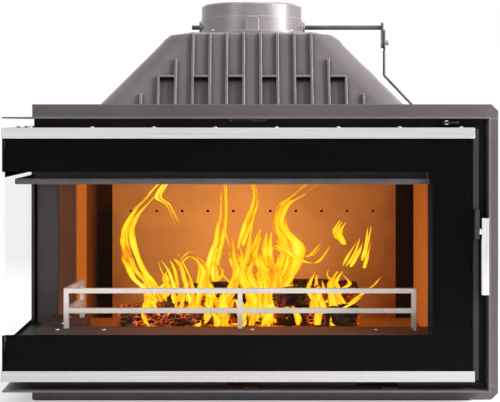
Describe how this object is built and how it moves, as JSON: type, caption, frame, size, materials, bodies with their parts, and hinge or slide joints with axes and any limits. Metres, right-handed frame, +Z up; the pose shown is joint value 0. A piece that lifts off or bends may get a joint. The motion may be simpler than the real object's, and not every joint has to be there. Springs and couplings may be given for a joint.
{
  "type": "fireplace insert",
  "caption": "Corner fireplace insert with glazed front and left side, hinged corner door, ribbed hood, damper linkage, air sliders and a removable log guard.",
  "frame": {"origin": "on the floor plane, at the crossing of the base's ribs, under the flue's axis", "axes": "+Z up along the flue, +Y from the front glass to the back, +X to the viewer's right"},
  "size_m": [0.888, 0.5056, 0.733],
  "materials": {
    "cast_body": "matt black stove paint on cast iron",
    "cast_hood": "grey heat-proof paint on cast iron",
    "collar_iron": "turned cast iron, grey paint",
    "rim_paint": "satin grey paint",
    "door_paint": "matt black stove paint",
    "control_black": "satin black paint",
    "glass": "clear ceramic glass",
    "black_print": "gloss black print fired on the glass",
    "trim_steel": "brushed lengthwise",
    "handle_steel": "polished",
    "guard_steel": "satin",
    "damper_steel": "dull steel",
    "deflector_steel": "dull grey steel",
    "firebox_steel": "sooted steel",
    "firebox_iron": "warm fire-worn iron",
    "fireclay": "fireclay, orange in the fire's light",
    "rope_seal": "woven glass-fibre rope",
    "charred_wood": "split wood, charred, with glowing cracks",
    "zinc_steel": "zinc-plated sheet",
    "fasteners": "plated steel"
  },
  "bodies": {
    "body": {"base_casting": "cast_body", "inlet_spigot": "zinc_steel", "sill_casting": "cast_body", "front_casting": "cast_body", "left_side_casting": "cast_body", "right_side_casting": "cast_body", "back_casting": "cast_body", "deck_casting": "cast_body", "hood_casting": "cast_hood", "hood_bolts": "fasteners", "flue_collar": "collar_iron", "collar_screws": "fasteners", "rim_top": "rim_paint", "rim_bottom": "rim_paint", "rim_right": "rim_paint", "back_liner_left": "fireclay", "back_liner_right": "fireclay", "side_liner_left": "fireclay", "side_liner_right": "fireclay", "corner_retainer_left": "firebox_steel", "corner_retainer_right": "firebox_steel", "air_deflector": "deflector_steel", "baffle_bars": "firebox_steel", "baffle_plate": "fireclay", "hearth_plate": "firebox_iron", "grate": "firebox_iron", "log_load": "charred_wood", "ash_pan": "zinc_steel", "air_duct": "zinc_steel", "ledge_screws": "fasteners", "hinge_brackets": "door_paint", "hinge_pins": "fasteners", "strike": "door_paint"},
    "guard": {"log_guard": "guard_steel"},
    "door": {"door_top_rail": "door_paint", "door_bottom_rail": "door_paint", "door_right_stile": "door_paint", "door_rear_stile": "door_paint", "front_glass": "glass", "side_glass": "glass", "front_print": "black_print", "side_print": "black_print", "trim_strip_top": "trim_steel", "trim_strip_bottom": "trim_steel", "trim_screws": "fasteners", "glass_clips": "fasteners", "door_seal": "rope_seal", "handle_bracket": "door_paint"},
    "handle": {"handle_grip": "handle_steel", "handle_pin": "fasteners", "latch_tongue": "door_paint"},
    "damper": {"damper_shaft": "damper_steel", "damper_plate": "damper_steel", "damper_crank": "damper_steel", "crank_bolt": "fasteners"},
    "damper_link": {"damper_rod": "damper_steel", "damper_knob": "control_black"},
    "wash_air": {"glass_wash_slide": "control_black"},
    "primary_air": {"primary_air_slide": "control_black"},
    "secondary_air": {"secondary_air_slide": "control_black"}
  },
  "joints": [
    {"name": "door_swing", "type": "hinge", "parent": "body", "child": "door", "pos_m": [-0.436, 0.064, 0.27], "axis": [0, 0, -1], "range_deg": [0, 90]},
    {"name": "handle_turn", "type": "hinge", "parent": "door", "child": "handle", "pos_m": [0.4, -0.276, 0.31], "axis": [-1, 0, 0], "range_deg": [0, 35]},
    {"name": "damper_turn", "type": "hinge", "parent": "body", "child": "damper", "pos_m": [0, 0, 0.691], "axis": [-1, 0, 0], "range_deg": [0, 60]},
    {"name": "damper_pull", "type": "slide", "parent": "body", "child": "damper_link", "axis": [0, -1, 0], "range_m": [0, 0.027]},
    {"name": "wash_air_slide", "type": "slide", "parent": "body", "child": "wash_air", "axis": [-1, 0, 0], "range_m": [0, 0.036]},
    {"name": "primary_air_slide", "type": "slide", "parent": "body", "child": "primary_air", "axis": [-1, 0, 0], "range_m": [0, 0.03]},
    {"name": "secondary_air_slide", "type": "slide", "parent": "body", "child": "secondary_air", "axis": [-1, 0, 0], "range_m": [0, 0.04]},
    {"name": "guard_lift", "type": "slide", "parent": "body", "child": "guard", "axis": [0, 0, 1], "range_m": [0, 0.06]}
  ],
  "couplings": [
    {"joint": "damper_pull", "follows": "damper_turn", "m_per_rad": 0.0255}
  ]
}
